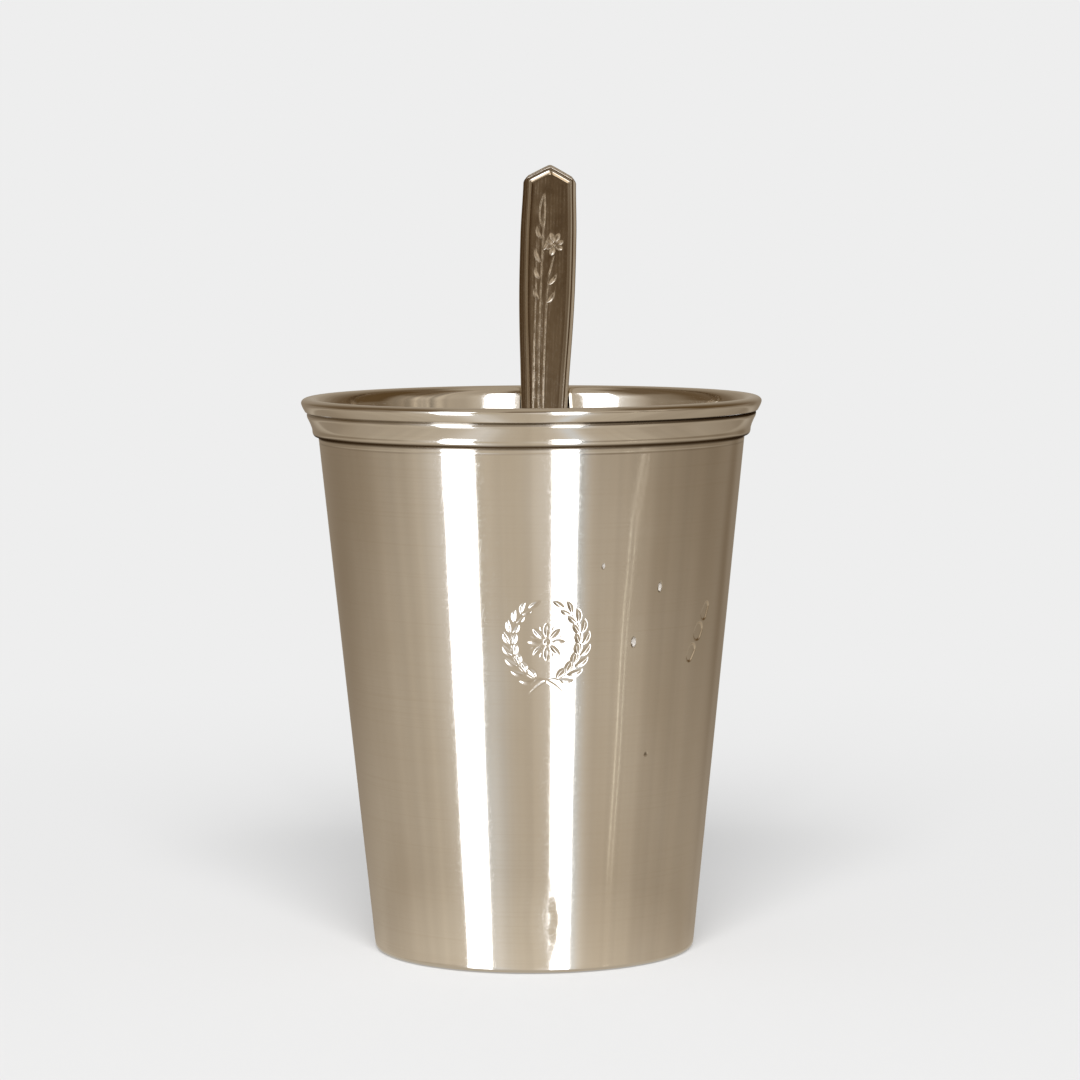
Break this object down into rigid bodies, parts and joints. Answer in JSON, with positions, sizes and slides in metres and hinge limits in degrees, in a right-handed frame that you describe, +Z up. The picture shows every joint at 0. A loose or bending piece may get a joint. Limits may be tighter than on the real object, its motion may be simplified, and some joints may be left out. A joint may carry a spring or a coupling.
{
  "type": "silver tumbler with spoon",
  "caption": "Tapered silver drinking tumbler with a moulded rim and a flat base, and a small spoon that stands in it, leans on the rim and lifts out.",
  "frame": {"origin": "centre of the underside of the tumbler, on the surface it stands on", "axes": "+Z up along the axis of the tumbler, +Y to the side of the rim that the spoon leans on"},
  "size_m": [0.07, 0.0846, 0.1197],
  "materials": {
    "wall_silver": "polished silver with fine wear lines",
    "base_silver": "polished silver, a little duller",
    "rim_silver": "polished silver, darker in the groove",
    "spoon_silver": "polished silver with fine wear lines"
  },
  "bodies": {
    "tumbler": {"cup_wall": "wall_silver", "base_disc": "base_silver", "rim_moulding": "rim_silver"},
    "spoon": {"spoon": "spoon_silver"}
  },
  "joints": [
    {"name": "spoon_lift", "type": "slide", "parent": "tumbler", "child": "spoon", "axis": [0, 0, 1], "range_m": [0, 0.1]}
  ]
}
